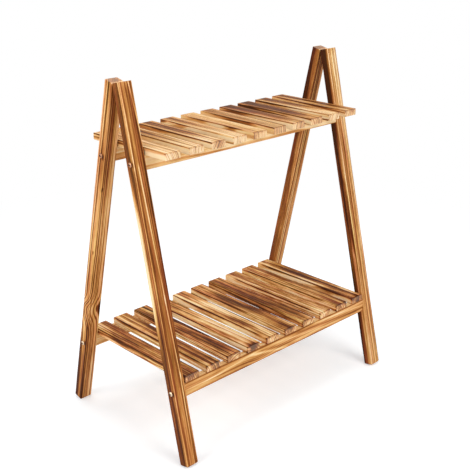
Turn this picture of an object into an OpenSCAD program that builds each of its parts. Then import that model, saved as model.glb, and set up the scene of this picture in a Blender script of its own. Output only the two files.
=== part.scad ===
// Two-tier plant stand: two leaning A-frames of square-cut legs, joined by two slatted shelves.
// X runs along the shelves, Y from front to back, Z up. The floor is z = 0, under the middle.

/* [Stand] */
// Overall length, over the outer faces of the legs
stand_l = 600; // [540:5:700]
// Number of slats in each shelf
slat_count = 10; // [8:1:12]

/* [Legs] */
// Length of a leg along its slope
leg_l = 740; // [690:5:800]
// Width of a leg, along the shelves
leg_w = 28; // [24:1:36]
// Thickness of a leg, square to its slope
leg_t = 22; // [20:1:30]
// Lean of a leg away from upright, in degrees
leg_lean = 13; // [11:0.5:15]
// Gap between the two legs of a frame where their tops meet
top_gap = 0.5; // [0:0.1:3]
// Radius of a leg's long edges
leg_ease = 1.6; // [0.8:0.2:4]
// Radius of the edges round the top end of a leg
top_ease = 1; // [0.6:0.2:3]
// Radius of the edges round the foot of a leg
foot_ease = 4; // [2:0.5:6]
// Height planed off the lowest edge of a foot, which leaves a flat heel
heel_cut = 0.6; // [0.3:0.1:1.5]

/* [Shelves] */
// Height of the lower shelf's top above the floor
lower_top = 174; // [150:2:240]
// Height of the upper shelf's top above the floor
upper_top = 604; // [540:2:630]
// Height of a rail
rail_h = 28; // [26:1:40]
// Thickness of a rail
rail_t = 18; // [16:1:22]
// Radius of a rail's long edges
rail_ease = 1.6; // [0.8:0.2:4]
// Width of a slat
slat_w = 36; // [34:1:40]
// Thickness of a slat
slat_t = 14; // [13:1:20]
// Radius of a slat's edges
slat_ease = 1.2; // [0.6:0.2:3]
// Gap between an end slat and the legs beside it
end_gap = 2; // [1:0.5:5]
// How far the lower slats stop short of the outer faces of their rails
lower_setback = 2; // [0:0.5:6]
// How far the upper slats reach past the outer faces of their rails
upper_overhang = 56; // [20:2:80]

/* [Frame bolts] */
// Diameter of a bolt that holds a leg to a rail
bolt_d = 5; // [4:0.5:6]
// Length of bolt that a threaded insert takes
bolt_grip = 12; // [8:1:12]
// Diameter of a bolt's round head
bolt_head_d = 9.5; // [8:0.5:12]
// Height of a bolt's round head
bolt_head_h = 2.8; // [2.3:0.1:3.6]
// Height of the upright rim round a bolt's head
bolt_rim_h = 0.5; // [0.2:0.1:0.8]
// Width across the flats of the six-sided socket in a bolt's head
socket_af = 3; // [2.5:0.5:4]
// Depth of the socket in a bolt's head
socket_depth = 1.6; // [1:0.1:1.9]
// Outer diameter of a threaded insert
insert_d = 8; // [7.5:0.5:9]
// Length of a threaded insert
insert_l = 13; // [12:1:15]

/* [Slat screws] */
// Diameter of a screw's shank
screw_d = 4; // [3:0.5:4.5]
// How far a screw goes into its slat
screw_bite = 10; // [6:1:11]
// Diameter of a screw's head
screw_head_d = 8; // [7:0.5:9]
// Height of a screw's head
screw_head_h = 2.6; // [2:0.1:3.4]
// Depth of the recess under a rail that hides a screw's head
screw_recess = 8; // [5:1:10]
// Length of a screw's tapered tip
screw_tip = 4; // [3:1:5]

/* [Fits] */
// Room on each side of a bolt in a leg and of a screw in a rail
pass_fit = 0.25; // [0.1:0.05:0.5]
// Room on each side of a thread or an insert in the hole that it grips
grip_fit = 0.05; // [0.02:0.01:0.1]
// Room on each side of a screw's head in its recess
head_fit = 0.5; // [0.25:0.05:1]

/* [Hidden] */
SIDES = ["left", "right"];
FACES = ["front", "rear"];
TIERS = ["lower", "upper"];

round_fn = 64;
small_fn = 40;
past = 1;

leg_colour = [0.56, 0.33, 0.17];
rail_colour = [0.78, 0.56, 0.34];
slat_colours = [[0.66, 0.44, 0.26], [0.82, 0.62, 0.38]];
bolt_colour = [0.72, 0.69, 0.64];
insert_colour = [0.78, 0.68, 0.42];
screw_colour = [0.80, 0.74, 0.56];

// The rounded corner of a foot touches the floor this far above its own sharp corner
corner_rise = foot_ease * (cos(leg_lean) + sin(leg_lean) - 1);
// Height of the sharp inner corner of a foot, which lies below the floor
foot_z = -(corner_rise + heel_cut);
// Height of the inner top corner of a leg, where the two legs of a frame meet
meet_z = foot_z + leg_l * cos(leg_lean);
inner_l = stand_l - 2 * leg_w;
slat_pitch = (inner_l - 2 * end_gap - slat_w) / (slat_count - 1);
bolt_l = leg_w + bolt_grip;
screw_l = rail_h - screw_recess + screw_bite;

// -1 is left, front or the like, and 1 is right or rear
function sign_of(word) = word == "left" || word == "front" ? -1 : 1;
function is_upper(tier) = tier == "upper";
function shelf_top(tier) = is_upper(tier) ? upper_top : lower_top;
function slat_z(tier) = shelf_top(tier) - slat_t;
function rail_z(tier) = slat_z(tier) - rail_h;
function bolt_z(tier) = rail_z(tier) + rail_h / 2;
// Distance of a leg's inner face, and of its centre, from the middle plane at height z
function leg_inner_y(z) = top_gap / 2 + (meet_z - z) * tan(leg_lean);
function leg_centre_y(z) = leg_inner_y(z) + leg_t / 2 / cos(leg_lean);
function rail_y(tier) = leg_centre_y(bolt_z(tier));
function slat_half_l(tier) = rail_y(tier) + rail_t / 2 + (is_upper(tier) ? upper_overhang : -lower_setback);
function slat_x(i) = -inner_l / 2 + end_gap + slat_w / 2 + (i - 1) * slat_pitch;

// Rectangle from the origin to [a, b], with round corners of radius r
module eased_rect(a, b, r) {
    translate([r, 0]) square([a - 2 * r, b]);
    translate([0, r]) square([a, b - 2 * r]);
    for (u = [r, a - r], v = [r, b - r]) translate([u, v]) circle(r = r, $fn = small_fn);
}

// Block from the origin to [a, b, c], with all its edges eased by r
module eased_block(a, b, c, r) {
    intersection() {
        linear_extrude(c) eased_rect(a, b, r);
        translate([0, b, 0]) rotate([90, 0, 0]) linear_extrude(b) eased_rect(a, c, r);
        rotate([90, 0, 90]) linear_extrude(a) eased_rect(b, c, r);
    }
}

// Outline of a leg seen on one of its faces, across and then along it, rounder at the foot
module leg_outline(across) {
    translate([0, foot_ease]) square([across, leg_l - foot_ease - top_ease]);
    translate([foot_ease, 0]) square([across - 2 * foot_ease, leg_l / 2]);
    translate([top_ease, leg_l / 2]) square([across - 2 * top_ease, leg_l / 2]);
    for (u = [foot_ease, across - foot_ease])
        translate([u, foot_ease]) circle(r = foot_ease, $fn = round_fn);
    for (u = [top_ease, across - top_ease])
        translate([u, leg_l - top_ease]) circle(r = top_ease, $fn = small_fn);
}

// Squared stick of the leg's section, standing on its foot with its inner face at y = 0
module leg_stick() {
    translate([-leg_w / 2, 0, 0]) intersection() {
        linear_extrude(leg_l) eased_rect(leg_w, leg_t, leg_ease);
        rotate([90, 0, 90]) linear_extrude(leg_w) leg_outline(leg_t);
        translate([0, leg_t, 0]) rotate([90, 0, 0]) linear_extrude(leg_t) leg_outline(leg_w);
    }
}

// Leg of one frame, leaning towards the middle, with its two bolt holes and its flat heel
module leg(side, face) {
    x = sign_of(side) * (stand_l - leg_w) / 2;
    color(leg_colour)
    difference() {
        translate([x, 0, 0]) mirror([0, face == "front" ? 1 : 0, 0])
            translate([0, leg_inner_y(foot_z), foot_z]) rotate([leg_lean, 0, 0]) leg_stick();
        translate([x - leg_w, -leg_l, -leg_l]) cube([2 * leg_w, 2 * leg_l, leg_l]);
        for (tier = TIERS)
            translate([x - leg_w / 2 - past, sign_of(face) * rail_y(tier), bolt_z(tier)])
                rotate([0, 90, 0]) cylinder(d = bolt_d + 2 * pass_fit, h = leg_w + 2 * past, $fn = round_fn);
    }
}

// Rail between the legs, with an insert's hole in each end and recessed screw holes underneath
module rail(tier, face) {
    y = sign_of(face) * rail_y(tier);
    color(rail_colour)
    difference() {
        translate([-inner_l / 2, y - rail_t / 2, rail_z(tier)])
            rotate([90, 0, 90]) linear_extrude(inner_l) eased_rect(rail_t, rail_h, rail_ease);
        for (end = [-1, 1])
            translate([end * inner_l / 2, y, bolt_z(tier)]) rotate([0, -90 * end, 0])
                translate([0, 0, -past])
                    cylinder(d = insert_d + 2 * grip_fit, h = insert_l + past, $fn = round_fn);
        for (i = [1 : slat_count])
            translate([slat_x(i), y, rail_z(tier) - past]) {
                cylinder(d = screw_d + 2 * pass_fit, h = rail_h + 2 * past, $fn = small_fn);
                cylinder(d = screw_head_d + 2 * head_fit, h = screw_recess + past, $fn = small_fn);
            }
    }
}

// Slat across the two rails, with a blind screw hole over each
module slat(tier, i) {
    half_l = slat_half_l(tier);
    color(slat_colours[is_upper(tier) ? 1 : 0])
    difference() {
        translate([slat_x(i) - slat_w / 2, -half_l, slat_z(tier)])
            eased_block(slat_w, 2 * half_l, slat_t, slat_ease);
        for (face = FACES)
            translate([slat_x(i), sign_of(face) * rail_y(tier), slat_z(tier) - past])
                cylinder(d = screw_d + 2 * grip_fit, h = screw_bite + past, $fn = small_fn);
    }
}

// Round-headed bolt along +Z: the head is below z = 0 and the shank above it. A ball cut to the
// head's diameter gives the dome and, where the ball is wider than the head, the upright rim.
module bolt() {
    dome_r = (pow(bolt_head_d / 2, 2) + pow(bolt_head_h - bolt_rim_h, 2)) / 2 / (bolt_head_h - bolt_rim_h);
    difference() {
        union() {
            intersection() {
                translate([0, 0, dome_r - bolt_head_h]) sphere(r = dome_r, $fn = round_fn);
                translate([0, 0, -bolt_head_h - past])
                    cylinder(d = bolt_head_d, h = bolt_head_h + past, $fn = round_fn);
            }
            cylinder(d = bolt_d, h = bolt_l, $fn = round_fn);
        }
        translate([0, 0, -bolt_head_h - past])
            cylinder(d = socket_af / cos(30), h = socket_depth + past, $fn = 6);
    }
}

// The four bolts of one frame, each through a leg and into the end of a rail
module frame_bolts(side) {
    color(bolt_colour)
    for (tier = TIERS, face = FACES)
        translate([sign_of(side) * stand_l / 2, sign_of(face) * rail_y(tier), bolt_z(tier)])
            rotate([0, -90 * sign_of(side), 0]) bolt();
}

// The four threaded inserts at one side of the stand, flush in the ends of the rails
module threaded_inserts(side) {
    color(insert_colour)
    for (tier = TIERS, face = FACES)
        translate([sign_of(side) * inner_l / 2, sign_of(face) * rail_y(tier), bolt_z(tier)])
            rotate([0, -90 * sign_of(side), 0]) difference() {
                cylinder(d = insert_d, h = insert_l, $fn = round_fn);
                translate([0, 0, -past])
                    cylinder(d = bolt_d + 2 * grip_fit, h = insert_l + 2 * past, $fn = round_fn);
            }
}

// Screw along +Z: the flat under its head is at z = 0
module slat_screw() {
    translate([0, 0, -screw_head_h]) cylinder(d1 = screw_head_d * 0.7, d2 = screw_head_d,
                                              h = screw_head_h, $fn = small_fn);
    cylinder(d = screw_d, h = screw_l - screw_tip, $fn = small_fn);
    translate([0, 0, screw_l - screw_tip])
        cylinder(d1 = screw_d, d2 = screw_d / 4, h = screw_tip, $fn = small_fn);
}

// The screws of one rail, up through it into each slat
module slat_screws(tier, face) {
    color(screw_colour)
    for (i = [1 : slat_count])
        translate([slat_x(i), sign_of(face) * rail_y(tier), rail_z(tier) + screw_recess]) slat_screw();
}

for (side = SIDES) for (face = FACES)
    leg(side, face);
for (tier = TIERS) for (face = FACES)
    rail(tier, face);
for (tier = TIERS) for (i = [1 : slat_count])
    slat(tier, i);
for (side = SIDES)
    frame_bolts(side);
for (side = SIDES)
    threaded_inserts(side);
for (tier = TIERS) for (face = FACES)
    slat_screws(tier, face);
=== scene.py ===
"""A two-tier plant stand of scorched and brushed pine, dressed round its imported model."""
import bpy
import numpy as np
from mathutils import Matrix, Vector


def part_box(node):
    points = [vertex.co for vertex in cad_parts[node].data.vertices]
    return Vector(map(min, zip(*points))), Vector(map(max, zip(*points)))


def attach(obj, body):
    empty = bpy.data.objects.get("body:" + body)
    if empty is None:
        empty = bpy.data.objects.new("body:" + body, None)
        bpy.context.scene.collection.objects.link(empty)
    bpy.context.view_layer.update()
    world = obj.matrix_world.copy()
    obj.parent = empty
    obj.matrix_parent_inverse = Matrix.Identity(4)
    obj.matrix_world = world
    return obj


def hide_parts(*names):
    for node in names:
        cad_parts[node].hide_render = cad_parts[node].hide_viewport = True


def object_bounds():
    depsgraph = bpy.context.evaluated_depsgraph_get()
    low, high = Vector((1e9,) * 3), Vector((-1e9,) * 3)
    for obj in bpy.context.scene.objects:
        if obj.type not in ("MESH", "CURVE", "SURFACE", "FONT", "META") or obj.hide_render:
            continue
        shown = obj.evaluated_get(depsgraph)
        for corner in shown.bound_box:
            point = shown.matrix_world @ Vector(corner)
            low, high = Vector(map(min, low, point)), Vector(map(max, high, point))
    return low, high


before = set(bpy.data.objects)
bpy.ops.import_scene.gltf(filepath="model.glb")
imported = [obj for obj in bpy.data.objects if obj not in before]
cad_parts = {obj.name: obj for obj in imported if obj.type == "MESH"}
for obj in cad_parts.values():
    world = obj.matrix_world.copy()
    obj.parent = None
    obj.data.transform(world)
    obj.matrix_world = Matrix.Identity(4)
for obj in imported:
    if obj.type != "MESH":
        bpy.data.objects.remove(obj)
cad_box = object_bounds()
scene = bpy.context.scene
scene.view_settings.view_transform = "Standard"

# Camera
# The picture is taken from beyond the left front corner, about 0.3 m above the tops of the legs, by
# a lens a little longer than normal. The lens's axis meets the picture above its middle, so the
# view is shifted.
picture_px = 470
focal_px = 873.35
axis_row = 200.1
sensor_mm = 36.0
camera_place = Vector((-1.2241, -1.2700, 1.0142))
camera_turn = np.radians(44.14)
camera_dip = np.radians(18.35)

lens = bpy.data.cameras.new("picture_lens")
lens.sensor_width = sensor_mm
lens.lens = focal_px / picture_px * sensor_mm
lens.shift_y = (axis_row - picture_px / 2) / picture_px
lens.clip_start = 0.05
lens.clip_end = 100.0
camera = bpy.data.objects.new("picture_camera", lens)
scene.collection.objects.link(camera)
aim = Vector((np.sin(camera_turn) * np.cos(camera_dip), np.cos(camera_turn) * np.cos(camera_dip),
              -np.sin(camera_dip)))
camera.location = camera_place
camera.rotation_mode = "QUATERNION"
camera.rotation_quaternion = aim.to_track_quat("-Z", "Y")
scene.camera = camera


# Studio
# A white room: an even dome of light, a large soft lamp in front, weaker ones on the left and
# above, and a pale matt floor that fades into the white of the room but keeps the stand's shadow.
def node(tree, kind, inputs=None, **settings):
    """A new shader node. Settings are its own properties, and inputs gives, by a socket's name or
    number, either a plain value or the output of another node that feeds it."""
    made = tree.nodes.new("ShaderNode" + kind)
    for name, value in settings.items():
        setattr(made, name, value)
    for key, value in (inputs or {}).items():
        if isinstance(value, bpy.types.NodeSocket):
            tree.links.new(value, made.inputs[key])
        else:
            made.inputs[key].default_value = value
    return made


def maths(tree, operation, *terms):
    """Output of a Math node with this operation on the given numbers or sockets."""
    return node(tree, "Math", dict(enumerate(terms)), operation=operation).outputs[0]


def bare_material(name):
    """A new material with an empty node tree, that tree, and its output node."""
    material = bpy.data.materials.new(name)
    material.use_nodes = True
    material.node_tree.nodes.clear()
    return material, material.node_tree, material.node_tree.nodes.new("ShaderNodeOutputMaterial")


def seen_directly(tree):
    """1 for rays that see the room itself, from the camera or in gloss and glass, and otherwise 0."""
    path = node(tree, "LightPath")
    shine = maths(tree, "MAXIMUM", path.outputs["Is Glossy Ray"], path.outputs["Is Transmission Ray"])
    return maths(tree, "MAXIMUM", path.outputs["Is Camera Ray"], shine)


dome_level = 0.50
room = bpy.data.worlds.new("white_room")
room.use_nodes = True
room.node_tree.nodes.clear()
dome = node(room.node_tree, "Background", {"Color": (1.0, 0.99, 0.98, 1), "Strength": dome_level})
white = node(room.node_tree, "Background", {"Color": (1, 1, 1, 1), "Strength": 1.0})
seen = node(room.node_tree, "MixShader",
            {0: seen_directly(room.node_tree), 1: dome.outputs[0], 2: white.outputs[0]})
node(room.node_tree, "OutputWorld", {"Surface": seen.outputs[0]})
scene.world = room


def soft_lamp(name, place, target, side, watts, colour):
    """A square lamp of this side, at a place and facing a target."""
    light = bpy.data.lights.new(name, "AREA")
    light.shape = "SQUARE"
    light.size = side
    light.energy = watts
    light.color = colour
    lamp = bpy.data.objects.new(name, light)
    lamp.location = place
    lamp.rotation_mode = "QUATERNION"
    lamp.rotation_quaternion = (Vector(target) - Vector(place)).to_track_quat("-Z", "Y")
    scene.collection.objects.link(lamp)


middle = (cad_box[0] + cad_box[1]) / 2
soft_lamp("front_lamp", (0.2, -2.8, 2.0), middle, side=1.8, watts=46, colour=(1.0, 0.99, 0.97))
soft_lamp("left_lamp", (-2.7, 0.2, 1.5), middle, side=1.6, watts=33, colour=(1.0, 0.98, 0.95))
soft_lamp("top_lamp", (0.1, 0.5, 3.0), middle, side=1.6, watts=24, colour=(1.0, 1.0, 1.0))

# The floor is a disc in rings. Where it is seen directly it fades to plain white, between the two
# radii of floor_fade. All are in metres.
floor_rings = np.array([0.0, 0.4, 0.8, 1.2, 1.8, 2.6, 4.0, 8.0, 16.0, 30.0])
floor_fade = (0.6, 1.5)
floor_sides = 48


def floor_disc(rings, sides):
    """Vertices and faces of a flat disc: a point at radius r and turn a is (r cos a, r sin a, 0)."""
    turn = np.linspace(0, 2 * np.pi, sides, endpoint=False)
    flat = np.stack([np.outer(rings[1:], np.cos(turn)), np.outer(rings[1:], np.sin(turn)),
                     np.zeros((len(rings) - 1, sides))], axis=-1).reshape(-1, 3)
    column = np.arange(sides)
    after = (column + 1) % sides
    hub = np.stack([np.full(sides, len(flat)), column, after], axis=-1)
    first = np.arange(len(rings) - 2)[:, None] * sides
    bands = np.stack([first + column, first + sides + column, first + sides + after, first + after],
                     axis=-1)
    return np.vstack([flat, [[0.0, 0.0, 0.0]]]), hub.tolist() + bands.reshape(-1, 4).tolist()


floor_mesh = bpy.data.meshes.new("studio_floor")
floor_points, floor_faces = floor_disc(floor_rings, floor_sides)
floor_mesh.from_pydata(floor_points.tolist(), [], floor_faces)
floor = bpy.data.objects.new("studio_floor", floor_mesh)
scene.collection.objects.link(floor)
floor.location.z = cad_box[0].z

# The lamps are warm, so a faint cool glow keeps the shadow on the floor grey.
matt_white, tree, surface = bare_material("matt_white_floor")
paint = node(tree, "BsdfDiffuse", {"Color": (0.92, 0.92, 0.92, 1)})
glow = node(tree, "Emission", {"Color": (0.84, 1.0, 1.12, 1), "Strength": 0.29})
lit = node(tree, "AddShader", {0: paint.outputs[0], 1: glow.outputs[0]})
sheet_white = node(tree, "Emission", {"Color": (1, 1, 1, 1), "Strength": 1.0})
away = node(tree, "VectorMath", {0: node(tree, "TexCoord").outputs["Object"]}, operation="LENGTH")
fade = node(tree, "MapRange", {0: away.outputs["Value"], 1: floor_fade[0], 2: floor_fade[1]},
            interpolation_type="SMOOTHSTEP")
shown = node(tree, "MixShader", {0: fade.outputs[0], 1: lit.outputs[0], 2: sheet_white.outputs[0]})
plain = node(tree, "MixShader", {0: seen_directly(tree), 1: paint.outputs[0], 2: shown.outputs[0]})
tree.links.new(plain.outputs[0], surface.inputs["Surface"])
floor_mesh.materials.append(matt_white)


# Legs
# Four straight sticks of pine, 28 by 22 mm, sawn square at both ends and leaning 13 degrees, with a
# flat under each foot. Each is scorched with a flame, brushed so that the soft wood lies lower, and
# sealed with clear varnish.
mm = 0.001
leg_length = 740 * mm
leg_width = 28 * mm
leg_thick = 22 * mm
leg_lean = np.radians(13)
leg_ease = 1.6 * mm
foot_ease = 4 * mm
top_ease = 1 * mm

# Rows of the skin along a leg, over an eased edge and on a sawn end, and the pitch of its columns.
leg_rows = 270
edge_rows = 6
end_rows = 9
leg_pitch = 0.9 * mm

# How far brushing lowers the soft wood, and the share of a year's growth at which wood is hardest.
brushing = 0.22 * mm
hardest = 0.85

# How far the pith strays, and how many years and metres apart in the tree the sticks are cut, so
# that no two have the same grain.
pith_stray = 0.35 * mm
years_apart = 7
metres_apart = 0.731

# A stroke longer than this fades out more slowly past its ends, by this factor.
long_stroke = 20 * mm
long_fade = 8


def section_ring(width, thick, ease, pitch):
    """Columns round a squared section, with a column about every pitch. Each has a core place, on a
    rectangle that reaches from -1 to 1, and an outward direction, which turns by 18 degrees a column
    round each corner."""
    across = max(2, int(round((width - 2 * ease) / pitch)))
    through = max(2, int(round((thick - 2 * ease) / pitch)))
    corners = np.array([[1, -1], [1, 1], [-1, 1], [-1, -1], [1, -1]], float)
    corner_steps = 18.0 * np.arange(1, 5)
    core, turn = [], []
    for side, count in enumerate((through, across, through, across)):
        share = np.linspace(0, 1, count + 1)[:, None]
        core.append(corners[side] * (1 - share) + corners[side + 1] * share)
        turn.append(np.full(count + 1, 90.0 * side))
        core.append(np.repeat(corners[side + 1][None], len(corner_steps), axis=0))
        turn.append(90.0 * side + corner_steps)
    facing = np.radians(np.concatenate(turn))
    return np.concatenate(core), np.stack([np.cos(facing), np.sin(facing)], axis=-1)


def stations(length, start_ease, end_ease, inner):
    """Stations from the middle of one sawn end, over its eased edge, along the stick, and to the
    middle of the other end: the place along, the inset of the section, the section's scale, which
    falls to 0 on an end, and how much of an end grain shows. An eased edge is a quarter circle:
    along = r (1 - cos a) and inset = r (1 - sin a). End grain shows in full up to a = 27 degrees,
    and from there it fades out to a = 72."""
    turn = np.linspace(0, np.pi / 2, edge_rows)
    cap = np.arange(1, end_rows + 1) / (end_rows + 1)
    arc_cut = np.clip(1.6 - turn / (np.pi / 4), 0, 1)
    start = start_ease * (1 - np.cos(turn))
    end = length - end_ease * (1 - np.cos(turn[::-1]))
    along = np.concatenate([0 * cap, start, inner, end, 0 * cap + length])
    inset = np.concatenate([0 * cap + start_ease, start_ease * (1 - np.sin(turn)), 0 * inner,
                            end_ease * (1 - np.sin(turn[::-1])), 0 * cap + end_ease])
    cut = np.concatenate([0 * cap + 1, arc_cut, 0 * inner, arc_cut[::-1], 0 * cap + 1])
    scale = np.concatenate([cap, np.ones(len(along) - 2 * len(cap)), cap[::-1]])
    return along, inset, scale, cut


def growth_rings(u, v, w, wood):
    """Number of growth rings between the tree's pith and each point of a stick. The pith is a line
    that runs nearly along the stick, so the distance to it is hypot(v - pith_v - slope_v u, ...).
    It wanders slowly along the tree, a knot pushes the rings apart round it, and the rings vary in
    width from year to year."""
    for knot_u, knot_v, knot_w, along, reach, push in wood["knots"]:
        near = np.exp(-((u - knot_u) / along) ** 2
                      - ((v - knot_v) ** 2 + (w - knot_w) ** 2) / reach ** 2)
        v = v - (v - knot_v) * push * near
        w = w - (w - knot_w) * push * near
    seed = wood["seed"]
    wander_v = pith_stray * (np.sin(u * 9.1 + seed) + 0.5 * np.sin(u * 23.0 + 2.3 * seed))
    wander_w = pith_stray * (np.sin(u * 7.3 + 1.7 * seed) + 0.5 * np.sin(u * 19.0 + seed))
    away = np.hypot(v - wood["pith"][0] - wood["slope"][0] * u - wander_v,
                    w - wood["pith"][1] - wood["slope"][1] * u - wander_w)
    years = away / wood["spacing"]
    return years + 0.30 * np.sin(1.1 * years + seed) + 0.20 * np.sin(2.7 * years + 2 * seed)


def scorch_and_painted_light(u, v, w, wood):
    """How dark each point is made, from 0 for pale to 1 for charred: the stick's own tone, plus
    strokes. A stroke is a soft tube round the line between two points, whose darkness falls off as
    exp(-(distance / reach)^2), and more slowly past the ends of a long stroke. Where its darkness is
    below 0, it makes the wood paler. Most strokes are the flame's, but some are painted light or shade:
    the shadows beside the bolt heads, the shade in the gap at each slat's left front corner, and the
    paler left sides of the slats."""
    dark = np.full(np.shape(u), wood["tone"], float)
    place = np.stack([u, v, w], axis=-1)
    for *ends, reach, amount in wood["strokes"]:
        start, way = np.array(ends[:3]), np.array(ends[3:]) - np.array(ends[:3])
        length = np.sqrt((way ** 2).sum())
        along = (place - start) @ way / length
        off = ((place - start - along[..., None] * way / length) ** 2).sum(axis=-1)
        past = np.maximum(np.maximum(-along, along - length), 0)
        if length > long_stroke:
            past = past / long_fade
        dark += amount * np.exp(-(off + past ** 2) / reach ** 2)
    return dark


def timber(seed, tone, contrast, pith, spacing, slope=(0.0, 0.0), knots=(), strokes=()):
    """What one stick's wood is like: its tone, the contrast of its rings' lines, or a pair if that
    changes from the start to the end, where the tree's pith lies, how wide the rings are, and how
    the pith slopes. Lengths are in mm, in the stick's own coordinates, which run along, across and
    through it from the middle of its start. A knot is (along, across, through, reach along, reach
    around, push), and a stroke is (three numbers from, three to, reach, darkness)."""
    return {"seed": seed, "tone": tone, "contrast": contrast, "spacing": spacing * mm,
            "pith": (pith[0] * mm, pith[1] * mm), "slope": slope,
            "knots": [tuple(mm * x for x in knot[:5]) + knot[5:] for knot in knots],
            "strokes": [tuple(mm * x for x in stroke[:7]) + stroke[7:] for stroke in strokes]}


def skin(name, points, rows, columns):
    """Mesh of a closed skin: a grid of rows that run round the piece, then one pole for each end.
    Quads join the rows and fans close the ends. Its map for baking lays the rows along and the
    columns across, so that each face has a place of its own."""
    row = np.arange(rows - 1)[:, None] * columns
    column = np.arange(columns)
    after = (column + 1) % columns
    last = (rows - 1) * columns
    quads = np.stack([row + column, row + after, row + columns + after, row + columns + column],
                     axis=-1)
    start_fan = np.stack([np.full(columns, last + columns), after, column], axis=-1)
    end_fan = np.stack([np.full(columns, last + columns + 1), last + column, last + after], axis=-1)
    corners = np.concatenate([quads.ravel(), start_fan.ravel(), end_fan.ravel()])
    starts = np.concatenate([np.arange(last) * 4, last * 4 + np.arange(2 * columns) * 3])
    mesh = bpy.data.meshes.new(name)
    mesh.vertices.add(len(points))
    mesh.vertices.foreach_set("co", points.astype(np.float32).ravel())
    mesh.loops.add(len(corners))
    mesh.loops.foreach_set("vertex_index", corners.astype(np.int32))
    mesh.polygons.add(len(starts))
    mesh.polygons.foreach_set("loop_start", starts.astype(np.int32))
    mesh.update(calc_edges=True)
    along = np.linspace(0, 1, rows + 2)
    low = np.repeat(along[1:-2, None], columns, axis=1)
    high = np.repeat(along[2:-1, None], columns, axis=1)
    left = np.repeat(column[None] / columns, rows - 1, axis=0)
    right = left + 1 / columns
    quad_map = np.stack([low, left, low, right, high, right, high, left], axis=-1)
    none, full = np.zeros(columns), np.ones(columns)
    tip = (left[0] + right[0]) / 2
    start_map = np.stack([none, tip, full * along[1], right[0], full * along[1], left[0]], axis=-1)
    end_map = np.stack([full, tip, full * along[-2], left[0], full * along[-2], right[0]], axis=-1)
    layout = mesh.uv_layers.new(name="OFBake")
    laid = np.concatenate([quad_map.ravel(), start_map.ravel(), end_map.ravel()])
    layout.uv.foreach_set("vector", laid.astype(np.float32))
    mesh.shade_smooth()
    return mesh


def stick(name, start, axes, size, ease, end_ease, wood, inner, ring, reshape=None):
    """A squared stick of solid wood, as one skin on a grid of stations and columns. At station i and
    column j it lies at along_i and at (core_j (half size - inset_i - ease_i) + ease_i facing_j)
    scale_i, where the ease wanders a little, as on a worn arris. Start is the middle of its first
    end, and its axes are along, across and through. Brushing lowers the soft wood of each growth
    ring, by a wave of the ring number, except on the sawn ends and round the recesses."""
    core, facing = ring
    along, inset, scale, cut = stations(size[0], *end_ease, inner)
    half = np.array(size[1:]) / 2
    wander = 1 + 0.10 * np.sin(along * 31 + wood["seed"]) + 0.08 * np.sin(along * 83)
    worn = (ease * wander)[:, None, None]
    section = core * (half - inset[:, None, None] - worn) + worn * facing
    section = section * scale[:, None, None]
    u = np.repeat(along[:, None], len(core), axis=1)
    v, w = section[..., 0], section[..., 1]
    whole = np.repeat(cut[:, None] == 0, len(core), axis=1)
    if reshape is not None:
        u, v, w, whole = reshape(u, v, w, whole)
    years = growth_rings(u, v, w, wood)
    lowered = brushing * (0.5 - 0.5 * np.cos(2 * np.pi * (years - hardest))) * whole
    places = np.stack([u, v - lowered * facing[:, 0], w - lowered * facing[:, 1]], axis=-1)
    ends = np.array([[0.0, 0, 0], [size[0], 0, 0]])
    local = np.concatenate([places.reshape(-1, 3), ends])
    mesh = skin(name, np.array(start) + local @ np.array(axes), *u.shape)
    contrast = np.interp(local[:, 0], (0, size[0]), np.broadcast_to(wood["contrast"], 2))
    growth = np.stack([growth_rings(*local.T, wood) + years_apart * wood["seed"], contrast,
                       scorch_and_painted_light(*local.T, wood)], axis=-1)
    grain = local + np.array([metres_apart * wood["seed"], 0, 0])
    for label, values in (("grain", grain), ("growth", growth)):
        mesh.attributes.new(label, "FLOAT_VECTOR", "POINT").data.foreach_set("vector", values.ravel())
    end_grain = np.concatenate([np.repeat(cut, len(core)), [1.0, 1.0]])
    mesh.attributes.new("end_grain", "FLOAT", "POINT").data.foreach_set("value", end_grain)
    made = bpy.data.objects.new(name, mesh)
    scene.collection.objects.link(made)
    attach(made, "root")
    return made


def chart(red, green, blue):
    """Scene-linear colour for red, green and blue as a colour chart gives them, from 0 to 255."""
    level = np.array([red, green, blue]) / 255
    linear = np.where(level <= 0.04045, level / 12.92, ((level + 0.055) / 1.055) ** 2.4)
    return (*linear.tolist(), 1.0)


def ramp(tree, value, stops, interpolation="LINEAR"):
    """Output colour of a ColorRamp with these (position, colour) stops. A plain number is a grey."""
    band = node(tree, "ValToRGB", {0: value})
    band.color_ramp.interpolation = interpolation
    keys = band.color_ramp.elements
    while len(keys) < len(stops):
        keys.new(0.5)
    for key, (position, colour) in zip(keys, stops):
        key.position = position
        key.color = (colour, colour, colour, 1) if isinstance(colour, (int, float)) else colour
    return band.outputs[0]


def blend(tree, share, first, second):
    """Output colour of a Mix node: the first colour with this share of the second."""
    return node(tree, "Mix", {0: share, 6: first, 7: second}, data_type="RGBA").outputs[2]


def streaks(tree, grain, stretch, detail, roughness=0.55):
    """Noise from -0.5 to 0.5 on the stick's own coordinates, each multiplied by its stretch, so a
    small first number draws the streaks out along the grain."""
    drawn = node(tree, "VectorMath", {0: grain, 1: stretch}, operation="MULTIPLY").outputs[0]
    noise = node(tree, "TexNoise", {"Vector": drawn, "Scale": 1.0, "Detail": detail,
                                    "Roughness": roughness})
    return maths(tree, "SUBTRACT", noise.outputs["Fac"], 0.5)


# Colours of the wood by its darkness, from bare pine to char.
scorch_colours = (
    (0.00, chart(252, 226, 182)),
    (0.14, chart(246, 209, 152)),
    (0.30, chart(231, 176, 112)),
    (0.45, chart(203, 138, 76)),
    (0.60, chart(166, 101, 49)),
    (0.75, chart(130, 72, 31)),
    (0.89, chart(103, 52, 22)),
    (1.00, chart(72, 34, 14)),
)
soot_colour = chart(122, 94, 44)
chalk_colour = chart(236, 206, 182)

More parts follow.
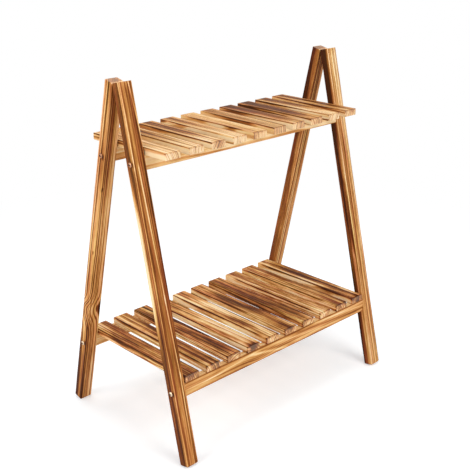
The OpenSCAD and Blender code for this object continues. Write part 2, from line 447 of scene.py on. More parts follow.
# Darkness over a year's growth, from pale spring wood through the hard line to the next spring.
hard_line = ((0.0, 0.0), (0.40, 0.05), (0.60, 0.80), (0.80, 1.0), (0.91, 0.5), (1.0, 0.0))


def scorched_pine(name, yearly, broad, blotch, fibre, soot, drift, roughness, sawn_dark, sawn_chalk):
    """Scorched, brushed and sealed pine. Darkness is the stick's tone and strokes, mostly scorched but
    in places painted light or shade, plus contrast times the hard line of each ring, plus a lot drawn
    for each year, streaks over several rings, stains, fine fibres and pores: yearly, broad, blotch and
    fibre are the strengths of four of them. The ramp of scorched colours turns it into a colour, whose
    hue drifts from redder to more olive streaks, and soot veils it in olive brown patches. Sawn ends
    have a share of that darkness and are a little chalky."""
    material, tree, surface = bare_material(name)
    grain = node(tree, "Attribute", attribute_name="grain").outputs["Vector"]
    growth = node(tree, "SeparateXYZ",
                  {0: node(tree, "Attribute", attribute_name="growth").outputs["Vector"]})
    end_grain = node(tree, "Attribute", attribute_name="end_grain").outputs["Fac"]
    years, contrast, scorch_and_light = growth.outputs

    # The rings waver, and each year's lot also makes its hard line stronger or weaker.
    years = maths(tree, "MULTIPLY_ADD", streaks(tree, grain, (6.0, 70.0, 70.0), 2.0), 0.8, years)
    lot = node(tree, "TexWhiteNoise", {"W": maths(tree, "FLOOR", years)}, noise_dimensions="1D")
    lot = maths(tree, "SUBTRACT", lot.outputs["Value"], 0.5)
    hard = ramp(tree, maths(tree, "FRACT", years), hard_line, "EASE")
    line = maths(tree, "MULTIPLY", maths(tree, "MULTIPLY_ADD", lot, 0.6, 0.9), hard)

    # The darkness of the faces, and of the sawn ends.
    bands = streaks(tree, grain, (2.2, 140.0, 140.0), 3.0)
    stain = streaks(tree, grain, (9.0, 40.0, 40.0), 5.0, 0.6)
    fine = streaks(tree, grain, (13.0, 430.0, 430.0), 4.0, 0.75)
    pores = ramp(tree, streaks(tree, grain, (70.0, 2600.0, 2600.0), 1.0), ((0.14, 0.0), (0.22, 1.0)))
    dark = scorch_and_light
    for mark, strength in ((line, contrast), (lot, yearly), (bands, broad), (stain, blotch),
                           (fine, fibre), (pores, 0.10)):
        dark = maths(tree, "MULTIPLY_ADD", mark, strength, dark)
    sawn = maths(tree, "MULTIPLY_ADD", dark, sawn_dark, 0.03)
    dark = node(tree, "Mix", {0: end_grain, 2: dark, 3: sawn}, data_type="FLOAT").outputs[0]

    # The colour, its drift of hue, the soot and the chalk.
    colour = ramp(tree, dark, scorch_colours)
    hue = maths(tree, "MULTIPLY_ADD", streaks(tree, grain, (5.0, 170.0, 170.0), 3.0), drift, 0.5)
    colour = node(tree, "HueSaturation", {"Hue": hue, "Color": colour}).outputs[0]
    smoke = maths(tree, "MULTIPLY", maths(tree, "ADD", stain, 0.42), soot)
    smoke = node(tree, "Clamp", {0: smoke}).outputs[0]
    colour = blend(tree, smoke, colour, blend(tree, 0.55, colour, soot_colour))
    colour = blend(tree, maths(tree, "MULTIPLY", end_grain, sawn_chalk), colour, chalk_colour)

    # Fibres and hard lines stand up, pores are sunk, and the sawn ends are duller.
    height = maths(tree, "MULTIPLY_ADD", fine, 1.2, maths(tree, "MULTIPLY", hard, 0.6))
    height = maths(tree, "SUBTRACT", height, pores)
    relief = node(tree, "Bump", {"Strength": 0.35, "Distance": 0.35 * mm, "Height": height})
    rough = maths(tree, "MULTIPLY_ADD", end_grain, 0.25, roughness)
    rough = maths(tree, "MULTIPLY_ADD", fine, 0.35, rough)
    sealed = node(tree, "BsdfPrincipled", {"Base Color": colour, "Roughness": rough,
                                           "Specular IOR Level": 0.05, "Normal": relief.outputs[0]})
    tree.links.new(sealed.outputs[0], surface.inputs["Surface"])
    return material


leg_pine = scorched_pine("scorched_leg_pine", yearly=0.24, broad=0.50, blotch=0.40, fibre=0.85,
                         soot=0.03, drift=0.07, roughness=0.46, sawn_dark=0.95, sawn_chalk=0.30)

# Across is to the left on a front leg and to the right on a rear one, and through is outwards.
leg_woods = {
    "left_front": timber(
        seed=1, tone=0.66, contrast=0.30, pith=(30, -70), spacing=4.0, slope=(0.020, 0.006),
        strokes=((0, 14, -2, 740, 14, -2, 9, 0.13), (0, 14, 11, 740, 14, 11, 1.2, -0.52),
                 (600, 14, 9, 740, 14, 7, 2.6, -0.34), (630, -14, 11, 740, -6, 11, 1.5, -0.50),
                 (0, -4.5, 11, 180, -7.5, 11, 1.0, -0.52), (180, -7.5, 11, 330, -2.5, 11, 1.0, -0.52),
                 (330, -2.5, 11, 580, 4, 11, 1.0, -0.56), (0, -14, 11, 740, -14, 11, 1.4, -0.40),
                 (345, 14, -7, 458, 14, -7, 8.5, -0.88), (450, 14, -11, 560, 14, -11, 4, -0.18),
                 (260, 3, 11, 540, 8, 11, 8, 0.08), (560, 2, 11, 740, 2, 11, 9, -0.15),
                 (205, 0, 11, 260, 0, 11, 9, -0.05), (739, 0, -4, 741, 0, 4, 12, -0.26),
                 (650, 14, 0, 740, 14, 0, 8, -0.08), (20, -11, 11, 180, -11, 11, 2, -0.22),
                 # The two strokes below paint the shadow that each bolt head casts on the leg beside
                 # it.
                 (146, 14, 7, 151, 14, 7, 2.6, 0.5), (587, 14, 7, 592, 14, 7, 2.6, 0.4))),
    "left_rear": timber(
        seed=2, tone=0.23, contrast=(0.66, 0.42), pith=(52, -46), spacing=4.4, slope=(0.010, 0.004),
        knots=((240, 15.2, -13, 34, 38, 0.94), (263, -15, 16, 24, 22, 0.90),
               (521, -11, -11, 8, 5, 0.7), (376, -14, -4.5, 8, 5, 0.7)),
        strokes=((580, -4, -11, 740, 2, -11, 9, 0.28), (430, 13, -11, 640, 13, -11, 4, 0.20),
                 (620, 13, -11, 740, 12, -11, 2, -0.40), (560, -14, 10, 740, -14, 10, 1.6, -0.16),
                 (200, -14, 11, 520, -14, 11, 1.5, 0.26), (200, 14, -11, 430, 14, -11, 1.6, 0.30),
                 (0, -14, -1, 740, -14, -1, 10, 0.07), (600, -14, 0, 740, -14, 0, 10, 0.14),
                 (0, -14, 9, 130, -14, 10, 5, 0.70), (0, -14, -2, 210, -14, 1, 1.8, -0.24),
                 (0, -14, -11, 190, -14, -9, 1.6, 0.56), (0, 0, -11, 235, 0, -11, 16, 0.18),
                 (0, -14, 0, 80, -14, 0, 10, 0.32), (0, 4, -11, 100, 6, -11, 3, -0.22),
                 (226, 14, -11, 235, 14, -11, 2.2, 0.70), (739, 3, 4, 741, 3, 4, 12, 0.46),
                 (740, -14, -11, 740, 14, -11, 2.6, -0.50), (519, -11, -11, 523, -11, -11, 1.6, 0.50),
                 # The strokes at 150 and 586 along paint the shadow that each bolt head casts on the
                 # leg beside it.
                 (374, -14, -4, 378, -14, -4, 1.6, 0.45), (150, -14, -6, 155, -14, -6, 2.4, 0.5),
                 (586, -14, -6, 592, -14, -6, 2.6, 0.5))),
    "right_front": timber(
        seed=3, tone=0.36, contrast=(0.66, 0.72), pith=(-70, 8), spacing=4.0, slope=(0.004, 0.0),
        strokes=((0, 15, -3, 740, 15, -3, 9, 0.40), (460, 14, -4, 740, 14, -4, 10, 0.20),
                 (640, 14, -4, 740, 14, -4, 11, 0.52), (60, 14, 3, 420, 14, 2, 1.8, -0.30),
                 (600, 14, 5, 740, 14, 5, 3, -0.06), (290, 14, 0, 480, 14, 0, 9, -0.16),
                 (195, 14, 0, 260, 14, 0, 9, 0.16), (0, 14, -11, 330, 14, -11, 3, 0.26),
                 (0, 14, 11, 740, 14, 11, 1.3, -0.36), (0, -14, 11, 740, -14, 11, 1.6, 0.36),
                 (80, 2, 11, 500, 3, 11, 7, 0.18), (300, -8, 11, 740, -8, 11, 6, -0.22),
                 (400, 7, 11, 700, 7, 11, 5, 0.10), (660, 2, 11, 740, 2, 11, 14, -0.26),
                 (739, 0, 0, 741, 0, 0, 11, 0.40), (0, 0, 11, 50, 0, 11, 14, -0.12))),
    "right_rear": timber(
        seed=4, tone=0.42, contrast=(0.46, 0.56), pith=(60, 14), spacing=4.6, slope=(0.006, 0.004),
        strokes=((600, -14, -2, 740, -14, -2, 10, 0.20), (500, 4, -11, 600, 4, -11, 9, 0.18),
                 (739, 2, 3, 741, 2, 3, 12, 0.36), (740, -14, -11, 740, 14, -11, 2.6, -0.40),
                 (0, -5, -11, 560, 0, -11, 2.4, -0.30), (0, -14, -11, 560, -14, -11, 1.4, -0.26),
                 (0, -14, 4, 740, -14, 4, 7, 0.05), (560, -14, 10, 680, -14, 10, 4, 0.34),
                 (640, 0, -11, 740, 0, -11, 12, -0.14))),
}
leg_ring = section_ring(leg_width, leg_thick, leg_ease, leg_pitch)
leg_stations = np.linspace(foot_ease, leg_length - top_ease, leg_rows)[1:-1]
for leg, leg_wood in leg_woods.items():
    low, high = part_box(leg + "_leg")
    outward = 1 if leg.endswith("rear") else -1
    through = np.array([0, outward * np.cos(leg_lean), np.sin(leg_lean)])
    upward = np.array([0, -outward * np.sin(leg_lean), np.cos(leg_lean)])
    foot_y = (max(-low.y, high.y) - foot_ease - (leg_thick - foot_ease) * np.cos(leg_lean)
              + foot_ease * np.sin(leg_lean))
    foot_z = (high.z - top_ease - (leg_thick - top_ease) * np.sin(leg_lean)
              - (leg_length - top_ease) * np.cos(leg_lean))
    foot = np.array([(low.x + high.x) / 2, outward * foot_y, foot_z]) + through * leg_thick / 2
    post = stick(leg + "_leg_post", foot, (upward, np.cross(through, upward), through),
                 (leg_length, leg_width, leg_thick), leg_ease, (foot_ease, top_ease), leg_wood,
                 leg_stations, leg_ring)
    # The flat under the foot: what would reach below the floor is level with it.
    places = np.empty(len(post.data.vertices) * 3, np.float32)
    post.data.vertices.foreach_get("co", places)
    places[2::3] = np.maximum(places[2::3], low.z)
    post.data.vertices.foreach_set("co", places)
    post.data.materials.append(leg_pine)
    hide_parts(leg + "_leg")


# Rails
# Four bars of pine, 18 by 28 mm, butted between the legs. Under each slat a recess is bored up into
# the rail for the head of the screw that holds it.
rail_thick = 18 * mm
rail_ease = 1.6 * mm
rail_end_ease = 0.3 * mm
slat_count = 10
recess_width = 9 * mm
recess_depth = 8 * mm

# Rows of the skin: in a square patch round each recess, as wide as the flat of the rail's underside,
# between two patches, and at these distances from the rail's ends. Places within a hair of each
# other count as the same.
patch_half = rail_thick / 2 - rail_ease
patch_steps = 20
gap_steps = 12
tail = np.array([3, 8]) * mm
hair = 0.01 * mm


def recesses(centres, thick):
    """Returns a reshape that bores the recesses. Round each centre the underside's square grid, in
    square rings m = max(|p|, |q|), turns into rings of a circle: the mouth at m = 0.8, the wall from
    0.7 to 0.6, and the flat seat within. A square ring's point at turn b is (cos b, sin b) radius."""
    steps = np.array([0.0, 0.5, 0.6, 0.7, 0.8, 1.0])
    radii = np.array([0.0, 0.96, 1.0, 1.0, 1.07, 1.3]) * recess_width / 2
    depths = np.array([1.0, 1.0, 0.97, 0.04, 0.0, 0.0]) * recess_depth
    rounding = np.array([1.0, 1.0, 1.0, 1.0, 1.0, 0.0])

    def reshape(u, v, w, whole):
        under = w < hair - thick / 2
        for centre in centres:
            p, q = (u - centre) / patch_half, v / patch_half
            square = np.maximum(np.abs(p), np.abs(q))
            inside = under & (square < 1.001)
            long_p = np.abs(p) >= np.abs(q)
            major, minor = np.where(long_p, p, q), np.where(long_p, q, p)
            turn = np.pi / 4 * minor / np.where(major == 0, 1, major)
            reach_major, reach_minor = np.sign(major) * np.cos(turn), np.sign(major) * np.sin(turn)
            disc_u = np.where(long_p, reach_major, reach_minor)
            disc_v = np.where(long_p, reach_minor, reach_major)
            radius, rounded = np.interp(square, steps, radii), np.interp(square, steps, rounding)
            new_u = centre + rounded * radius * disc_u + (1 - rounded) * p * patch_half
            new_v = rounded * radius * disc_v + (1 - rounded) * q * patch_half
            w = np.where(inside, w + np.interp(square, steps, depths), w)
            u, v = np.where(inside, new_u, u), np.where(inside, new_v, v)
            whole = whole & ~inside
        return u, v, w, whole

    return reshape


rail_pine = scorched_pine("honey_rail_pine", yearly=0.16, broad=0.55, blotch=0.60, fibre=0.50,
                          soot=0.20, drift=0.03, roughness=0.44, sawn_dark=0.55, sawn_chalk=0.30)

# Along is to the right, across is to the rear and through is upwards.
rail_woods = {
    "lower_front": timber(
        seed=5, tone=0.36, contrast=0.24, pith=(30, 60), spacing=5.5, slope=(0.010, -0.010),
        knots=((203, -9, 13, 31, 19, 0.75),),
        strokes=((0, -9, 3, 90, -9, 4, 2.2, 0.10), (60, -9, -1, 180, -9, 9, 2.4, -0.24),
                 (0, -9, -2, 80, -9, 0, 2.6, -0.20), (0, -9, -9, 50, -9, -9, 4, -0.14),
                 (195, -9, 5, 285, -9, -12, 2.6, -0.26), (215, -9, 6, 290, -9, -4, 2.2, 0.14),
                 (255, -9, 9, 380, -9, -3, 2.8, -0.20), (330, -9, 9, 500, -9, -5, 2.4, 0.18),
                 (380, -9, 13, 510, -9, 4, 2.6, -0.24), (350, -9, -13, 425, -9, -12, 2.6, 0.16),
                 (60, -9, -12, 180, -9, -12, 3, 0.16), (500, -9, -7, 544, -9, -5, 4, 0.20),
                 (0, -9, 9, 360, -9, 9, 4, 0.14), (90, -9, -4, 210, -9, -4, 3.5, 0.08),
                 (0, -9, 14, 544, -9, 14, 1.6, 0.16), (0, 0, 14, 544, 0, 14, 6, -0.34))),
    "lower_rear": timber(
        seed=6, tone=0.18, contrast=0.20, pith=(-30, 30), spacing=5.0, slope=(0.004, 0.006)),
    "upper_front": timber(
        seed=7, tone=0.14, contrast=0.22, pith=(60, -50), spacing=6.0, slope=(0.010, 0.004),
        strokes=((0, -9, 2, 70, -9, 0, 9, 0.16), (60, -9, 8, 300, -9, 4, 4, 0.10),
                 (380, -9, 10, 544, -9, 10, 4, 0.12), (0, -9, -8, 544, -9, -8, 4, -0.06),
                 (0, -9, 14, 544, -9, 14, 1.5, 0.14), (0, -9, -14, 544, -9, -14, 1.5, 0.16))),
    "upper_rear": timber(
        seed=8, tone=0.07, contrast=0.16, pith=(-40, -20), spacing=5.0, slope=(0.004, -0.006)),
}
rail_axes = ((1.0, 0, 0), (0, 1.0, 0), (0, 0, 1.0))
for rail, rail_wood in rail_woods.items():
    low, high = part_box(rail + "_rail")
    size = high - low
    tier = rail.split("_")[0]
    slat_boxes = [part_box(f"{tier}_slat_{number}") for number in range(1, slat_count + 1)]
    centres = np.array([(a.x + b.x) / 2 - low.x for a, b in slat_boxes])
    patches = centres[:, None] + np.linspace(-patch_half, patch_half, patch_steps + 1)
    between = [np.linspace(a + patch_half, b - patch_half, gap_steps + 1)[1:-1]
               for a, b in zip(centres, centres[1:])]
    inner = np.sort(np.concatenate([patches.ravel(), *between, tail, size.x - tail]))
    start = (low.x, (low.y + high.y) / 2, (low.z + high.z) / 2)
    bar = stick(rail + "_rail_bar", start, rail_axes, (size.x, size.y, size.z), rail_ease,
                (rail_end_ease, rail_end_ease), rail_wood, inner,
                section_ring(size.y, size.z, rail_ease, 2 * patch_half / patch_steps),
                recesses(centres, size.z))
    bar.data.materials.append(rail_pine)
    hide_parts(rail + "_rail")


# Slats
# Ten boards of pine to a shelf, 36 by 14 mm, laid across the rails with open gaps and screwed from
# below. The lower ones are scorched browner than the upper ones, and the flame caught their upper
# edges most.
slat_ease = 1.2 * mm
slat_rows = 70
slat_pitch = 1.0 * mm
slat_axes = ((0, -1.0, 0), (1.0, 0, 0), (0, 0, 1.0))
lower_pine = scorched_pine("brown_slat_pine", yearly=0.34, broad=0.75, blotch=1.80, fibre=1.00,
                           soot=0.12, drift=0.09, roughness=0.46, sawn_dark=0.95, sawn_chalk=0.14)
upper_pine = scorched_pine("honey_slat_pine", yearly=0.22, broad=0.30, blotch=0.70, fibre=0.70,
                           soot=0.34, drift=0.05, roughness=0.46, sawn_dark=0.90, sawn_chalk=0.22)

# For each board from the left: its tone, the contrast of its rings, the tone of its left side, and its
# strokes. The left side's tone is partly painted light: it is paler than the wood so that the side,
# which the lamps leave in shade, reads bright, and the pale strokes along the left side, at across -19,
# do the same. Along is to the front, across is to the right and through is upwards.
lower_boards = (
    (0.41, 0.38, -0.43, ((40, -2, 8, 300, 4, 8, 15, 0.16), (0, -8, 8, 36, -8, 8, 8, -0.34),
                         (0, -19, 0, 70, -19, 0, 7, 0.34))),
    (0.41, 0.36, -0.47, ((0, -8, 8, 40, -12, 8, 8, -0.24), (100, 3, 8, 220, 4, 8, 13, 0.20))),
    (0.44, 0.42, -0.35, ((180, 4, 8, 302, 4, 8, 10, 0.32), (302, 0, 0, 303, 0, 0, 12, -0.40))),
    (0.22, 0.36, -0.22, ((60, -10, 8, 302, -10, 8, 6, 0.20), (200, 8, 8, 302, 8, 8, 6, -0.12),
                         (302, 0, 0, 303, 0, 0, 12, 1.00))),
    (0.28, 0.40, -0.26, ((100, 6, 8, 302, 8, 8, 5, -0.24), (0, -6, 8, 200, -4, 8, 6, 0.22))),
    (0.35, 0.42, -0.54, ((0, 0, 8, 60, 0, 8, 14, 0.14), (120, 0, 8, 302, 0, 8, 12, 0.48),
                         (230, 12, 8, 302, 12, 8, 4, -0.16))),
    (0.43, 0.38, -0.18, ((120, -4, 8, 290, -2, 8, 10, 0.18), (302, 0, 0, 303, 0, 0, 12, -0.36))),
    (0.22, 0.38, -0.22, ((200, 6, 8, 302, 6, 8, 8, -0.12), (0, 0, 8, 110, 0, 8, 14, 0.40))),
    (0.34, 0.38, -0.22, ((150, 0, 8, 302, 0, 8, 14, 0.14),)),
    (0.42, 0.38, -0.62, ((90, 4, 8, 302, 6, 8, 12, 0.18), (0, -14, 8, 302, -14, 8, 3, -0.16),
                         (302, 0, 0, 303, 0, 0, 12, 0.32))),
)
upper_boards = (
    (-0.01, 0.58, -0.06, ((0, 4, 8, 70, 2, 8, 12, 0.26), (0, -18, 0, 60, -18, 0, 8, 0.40),
                          (80, -19, 0, 219, -19, 0, 6, -0.14))),
    (-0.06, 0.62, -0.04, ((0, -4, 8, 44, -2, 8, 14, 0.80), (60, -19, 0, 219, -19, 0, 6, -0.18))),
    (-0.10, 0.58, -0.03, ((0, 0, 8, 70, 0, 8, 14, 0.90), (120, 0, 8, 219, 0, 8, 13, -0.11),
                          (120, -19, 0, 219, -19, 0, 6, -0.06), (219, 0, 0, 220, 0, 0, 12, 0.50))),
    (-0.04, 0.58, -0.02, ((0, 0, 8, 48, 0, 8, 14, 0.71), (70, 0, 8, 219, 0, 8, 13, -0.18),
                          (80, -19, 0, 219, -19, 0, 6, -0.20))),
    (0.08, 0.44, 0.08, ((0, 2, 8, 60, 2, 8, 14, 0.02), (60, 0, 8, 219, 0, 8, 13, 0.14),
                        (190, -19, 0, 219, -19, 0, 6, 0.12), (136, -19, 1, 168, -19, 1, 6, -0.34))),
    (0.19, 0.68, 0.10, ((0, -6, 8, 90, -4, 8, 10, 0.24), (120, 4, 8, 219, 4, 8, 6, -0.10),
                        (140, -19, 0, 219, -19, 0, 6, 0.06))),
    (0.10, 0.58, 0.10, ((0, 0, 8, 135, 0, 8, 14, 0.86), (92, 0, 8, 112, 0, 8, 18, 0.24),
                        (185, 0, 8, 205, 0, 8, 20, -0.24), (150, 0, 8, 219, 0, 8, 13, -0.22),
                        (150, -19, -2, 219, -19, -2, 7, -0.34))),
    (0.32, 0.58, -0.14, ((0, 0, 8, 100, 0, 8, 14, 0.60), (201, 2, 8, 219, 2, 8, 15, -0.26),
                         (150, -19, 0, 219, -19, 0, 6, -0.08))),
    (0.00, 0.58, 0.16, ((0, 4, 8, 52, 6, 8, 14, 0.98), (90, 0, 8, 219, 0, 8, 13, -0.12),
                        (130, -19, 0, 219, -19, 0, 6, -0.18))),
    (0.14, 0.62, -0.12, ((0, -12, 8, 219, -12, 8, 3, 0.22), (50, 4, 8, 135, 4, 8, 12, 0.68),
                         (160, 0, 8, 219, 0, 8, 12, -0.12))),
)

# For each shelf: burn is how dark the flame left its upper edges, and the corner value how dark the
# upright arris at each board's left front corner is painted, partly for its scorching and partly as
# painted shade in the gap beside the board. A board's pith lies this far aside of its middle and above
# it, in mm. The boards' seeds count on from seed, and lots starts the random draws.
tiers = {
    "lower": {"pine": lower_pine, "boards": lower_boards, "burn": 1.9, "corner": 0.6,
              "pith_aside": (24, 76), "pith_height": (-52, 4), "seed": 10, "lots": 11},
    "upper": {"pine": upper_pine, "boards": upper_boards, "burn": 1.5, "corner": 0.1,
              "pith_aside": (36, 84), "pith_height": (-34, 8), "seed": 30, "lots": 23},
}
for tier, shelf in tiers.items():
    lots = np.random.default_rng(shelf["lots"])
    for number, (tone, contrast, side_tone_and_light, marks) in enumerate(shelf["boards"], start=1):
        low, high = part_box(f"{tier}_slat_{number}")
        size = high - low
        start = ((low.x + high.x) / 2, high.y, (low.z + high.z) / 2)
        front = size.y / mm
        pith = (lots.choice([-1, 1]) * lots.uniform(*shelf["pith_aside"]),
                lots.uniform(*shelf["pith_height"]))
        burnt = shelf["burn"] * lots.uniform(0.16, 0.40, 4)
        # Two strokes along each long upper edge, one along the front one, one down the left front
        # corner, which is partly scorching and partly painted shade in the gap there, a slanting one on
        # the left side, and one that gives that whole side its tone, which in part is painted light
        # that makes the shaded side paler.
        edges = [(lots.uniform(0, 60), side, 7, lots.uniform(150, 300), side, 7, 1.7, dark)
                 for side, dark in zip((-18, -18, 18, 18), burnt)]
        edges += [(front, -18, 7, front, 18, 7, 1.8, 0.22 * shelf["burn"]),
                  (front, -18, -7, front, -18, 7, 1.6, shelf["corner"]),
                  (lots.uniform(20, 90), -19, 3, lots.uniform(110, 200), -19, -3, 4, 0.22),
                  (0, -19, -2, 400, -19, -2, 6, side_tone_and_light)]
        slat_wood = timber(shelf["seed"] + number, tone, contrast, pith, lots.uniform(3.0, 4.6),
                           (lots.uniform(-0.03, 0.03), lots.uniform(-0.03, 0.03)),
                           strokes=(*marks, *edges))
        board = stick(f"{tier}_slat_{number}_board", start, slat_axes, (size.y, size.x, size.z),
                      slat_ease, (slat_ease, slat_ease), slat_wood,
                      np.linspace(slat_ease, size.y - slat_ease, slat_rows)[1:-1],
                      section_ring(size.x, size.z, slat_ease, slat_pitch))
        board.data.materials.append(shelf["pine"])
        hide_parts(f"{tier}_slat_{number}")


# Frame bolts
# Round-headed steel bolts, 5 mm, zinc plated, with a six-sided socket. One goes through each leg
# into the end of each rail, so each side frame has four.
bolt_radius = 2.5 * mm
bolt_head_radius = 4.75 * mm
bolt_head_height = 2.8 * mm
bolt_rim = 0.5 * mm
rim_edge_height = 0.25 * mm
rim_edge_inset = 0.2 * mm
socket_flat = 3 * mm
socket_mouth = 1.35 * socket_flat / 2
socket_chamfer = 0.3 * mm
socket_depth = 1.6 * mm
thread_pitch = 0.8 * mm
thread_depth = 0.4 * mm
thread_length = 18 * mm
tip_length = 0.8 * mm
tip_taper = 0.7 * mm
bolt_columns = 48
dome_rows = 12
rows_a_pitch = 8
# Colours of a varnish film on the bolts, and of the dark that stands for soiling and for painted shade
# in their sockets and round their heads.
varnish_film = chart(186, 132, 98)
soil_and_shade_colour = chart(58, 36, 24)


def plated(name, colour, roughness):
    """Plated metal: small cloudy changes of tone and gloss over one metal colour, fine scratches in the
    bump, and a darkening given by an attribute of the mesh: a brown film of varnish up to a half, and
    from there to 1 a dark colour that doesn't shine, which is partly soiling and partly painted shade,
    in the bolts' sockets and round their heads."""
    material, tree, surface = bare_material(name)
    place = node(tree, "TexCoord").outputs["Object"]
    cloud = node(tree, "TexNoise", {"Vector": place, "Scale": 700.0, "Detail": 4.0}).outputs["Fac"]
    worn = tuple(0.80 * part for part in colour[:3]) + (1.0,)
    shade = ramp(tree, cloud, ((0.30, worn), (0.70, colour)))
    grime_and_shade = node(tree, "Attribute", attribute_name="grime_and_shade").outputs["Fac"]
    film = node(tree, "Clamp", {0: maths(tree, "MULTIPLY", grime_and_shade, 2.0)}).outputs[0]
    # From a half to 1 the metal turns dark and stops shining: soiling on the grimiest heads, and mostly
    # painted shade in the sockets and round the heads' edges.
    soil_and_shade = node(tree, "Clamp", {0: maths(tree, "MULTIPLY_ADD", grime_and_shade, 2.0, -1.0)}).outputs[0]
    shade = blend(tree, soil_and_shade, blend(tree, film, shade, varnish_film), soil_and_shade_colour)
    rough = maths(tree, "MULTIPLY_ADD", cloud, 0.2, roughness)
    scratch = node(tree, "TexNoise", {"Vector": place, "Scale": 4000.0, "Detail": 2.0}).outputs["Fac"]
    bump = node(tree, "Bump", {"Strength": 0.15, "Distance": 0.05 * mm, "Height": scratch})
    bare = maths(tree, "SUBTRACT", 1.0, soil_and_shade)
    metal = node(tree, "BsdfPrincipled", {"Base Color": shade, "Metallic": bare, "Roughness": rough,
                                          "Normal": bump.outputs[0]})
    tree.links.new(metal.outputs[0], surface.inputs["Surface"])
    return material


def bolt_rows(length):
    """Rows of a bolt, from the middle of its socket to its tip: the height above the leg's face, the
    radius, and how six-sided the row is. The dome is part of a sphere, of radius
    (r^2 + h^2) / 2h for a cap of radius r and height h. Where a row stands twice, the edge is
    sharp."""
    cap = bolt_head_height - bolt_rim
    sphere = (bolt_head_radius ** 2 + cap ** 2) / (2 * cap)
    dome_r = np.linspace(socket_mouth, bolt_head_radius, dome_rows)
    dome_z = bolt_head_height - sphere + np.sqrt(sphere ** 2 - dome_r ** 2)
    floor_z = bolt_head_height - socket_depth
    chamfer_z = dome_z[0] - socket_chamfer
    wall = socket_flat / 2
    rows = [(floor_z, 0.5 * wall, 1), (floor_z, wall, 1), (floor_z, wall, 1),
            (chamfer_z, wall, 1), (chamfer_z, wall, 1)]
    rows += [(z, r, 0) for z, r in zip(dome_z, dome_r)]
    rows += [(rim_edge_height, bolt_head_radius, 0), (0.0, bolt_head_radius - rim_edge_inset, 0),
             (0.0, bolt_radius, 0), (thread_length - length, bolt_radius, 0)]
    count = int(thread_length / thread_pitch * rows_a_pitch)
    thread_z = np.linspace(thread_length - length, tip_length - length, count)[1:]
    rows += [(z, bolt_radius, 0) for z in thread_z]
    rows += [(-length, bolt_radius - tip_taper, 0)]
    return np.array(rows)


def bolt_skin(length):
    """Points of a bolt that points along +X, its head's underside at x = 0, the shape of their grid,
    and their darkening: painted shade, full in the socket and at its mouth, and 0.8 round the head's
    rim where it meets the leg. A six-sided row has the radius r / cos(b), with b the turn from the
    middle of the nearest flat. The thread is a groove that runs down one pitch in each turn: radius -
    depth wave(x / pitch - turn / 2 pi)."""
    height, radius, six_sided = bolt_rows(length).T[:, :, None]
    turn = np.linspace(0, 2 * np.pi, bolt_columns, endpoint=False)
    flat_turn = (turn + np.pi / 6) % (np.pi / 3) - np.pi / 6
    reach = radius * (1 + six_sided * (1 / np.cos(flat_turn) - 1))
    cutting = np.clip((thread_length - length - height) / thread_pitch, 0, 1)
    cutting = cutting * (height > -length)
    wave = np.abs(2 * ((height / thread_pitch - turn / (2 * np.pi)) % 1) - 1)
    reach = reach - thread_depth * cutting * wave
    grid = np.stack([height + 0 * reach, reach * np.cos(turn), reach * np.sin(turn)], axis=-1)
    poles = np.array([[height[0, 0], 0, 0], [-length, 0, 0]])
    # Painted shade: the socket, its mouth and the head's edge against the leg are darkened where shade
    # falls.
    rim = np.clip(radius / bolt_head_radius * 14 - 13, 0, 1) * (height > -hair)
    lip = np.clip(5 - 4 * radius / socket_mouth, 0, 1) * (height > 0)
    dirt_and_shade = np.maximum(np.maximum(six_sided, 0.8 * rim), lip)
    grime_and_shade = np.concatenate([np.repeat(dirt_and_shade[:, 0], bolt_columns), [1.0, 0.0]])
    return np.concatenate([grid.reshape(-1, 3), poles]), grid.shape[:2], grime_and_shade


zinc = plated("zinc_bolt_steel", chart(228, 212, 182), 0.30)
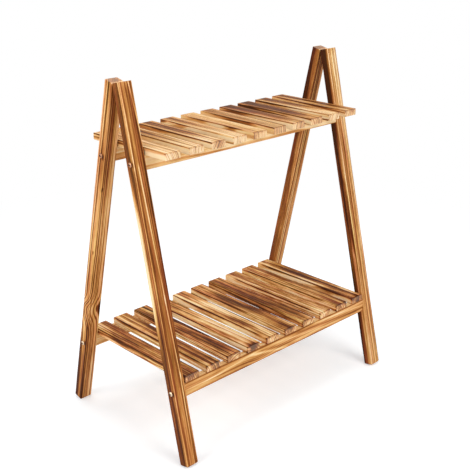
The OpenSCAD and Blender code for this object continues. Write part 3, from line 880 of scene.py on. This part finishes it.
# How grimy the four heads of a frame are: lower front, lower rear, upper front and upper rear.
head_dirt = np.array([0.05, 0.1, 0.45, 0.6])[:, None]
for side, outward in (("left", -1), ("right", 1)):
    low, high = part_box(side + "_frame_bolts")
    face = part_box(side + "_front_leg")[0 if outward < 0 else 1].x
    tip = high.x if outward < 0 else low.x
    points, shape, grime_and_shade = bolt_skin(abs(tip - face))
    points = points * np.array([outward, 1, outward])
    sites = [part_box(f"{tier}_{end}_rail") for tier in ("lower", "upper") for end in ("front", "rear")]
    centres = np.array([[face, (a.y + b.y) / 2, (a.z + b.z) / 2] for a, b in sites])
    # The four bolts of a frame are one mesh, made of four copies of a single bolt's skin.
    single = skin(side + "_bolt", points, *shape)
    count = len(points)
    corners = np.empty(len(single.loops), np.int32)
    single.loops.foreach_get("vertex_index", corners)
    starts = np.empty(len(single.polygons), np.int32)
    single.polygons.foreach_get("loop_start", starts)
    mesh = bpy.data.meshes.new(side + "_side_bolts")
    number = np.arange(len(centres))[:, None]
    mesh.vertices.add(count * len(centres))
    mesh.vertices.foreach_set("co", (centres[:, None] + points).astype(np.float32).ravel())
    mesh.loops.add(len(corners) * len(centres))
    mesh.loops.foreach_set("vertex_index", (corners + number * count).astype(np.int32).ravel())
    mesh.polygons.add(len(starts) * len(centres))
    mesh.polygons.foreach_set("loop_start", (starts + number * len(corners)).astype(np.int32).ravel())
    mesh.update(calc_edges=True)
    bpy.data.meshes.remove(single)
    mesh.shade_smooth()
    # Each head's own grimy film, together with the painted shade of its socket and edge.
    dirt_and_shade = 1 - (1 - head_dirt) * (1 - grime_and_shade)
    mesh.attributes.new("grime_and_shade", "FLOAT", "POINT").data.foreach_set("value", dirt_and_shade.ravel())
    bolts = bpy.data.objects.new(side + "_side_bolts", mesh)
    scene.collection.objects.link(bolts)
    bolts.data.materials.append(zinc)
    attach(bolts, "root")
    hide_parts(side + "_frame_bolts")


# Inserts and slat screws
# Threaded brass inserts in the rails' ends take the bolts, and yellow zinc screws hold the slats
# from below. They are out of sight but for the screws' heads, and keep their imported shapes.
brass = plated("plain_insert_brass", chart(206, 176, 108), 0.30)
yellow_zinc = plated("yellow_screw_steel", chart(214, 190, 130), 0.34)
for name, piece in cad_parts.items():
    for ending, metal in (("_threaded_inserts", brass), ("_slat_screws", yellow_zinc)):
        if name.endswith(ending):
            for slot in piece.material_slots:
                slot.material = metal
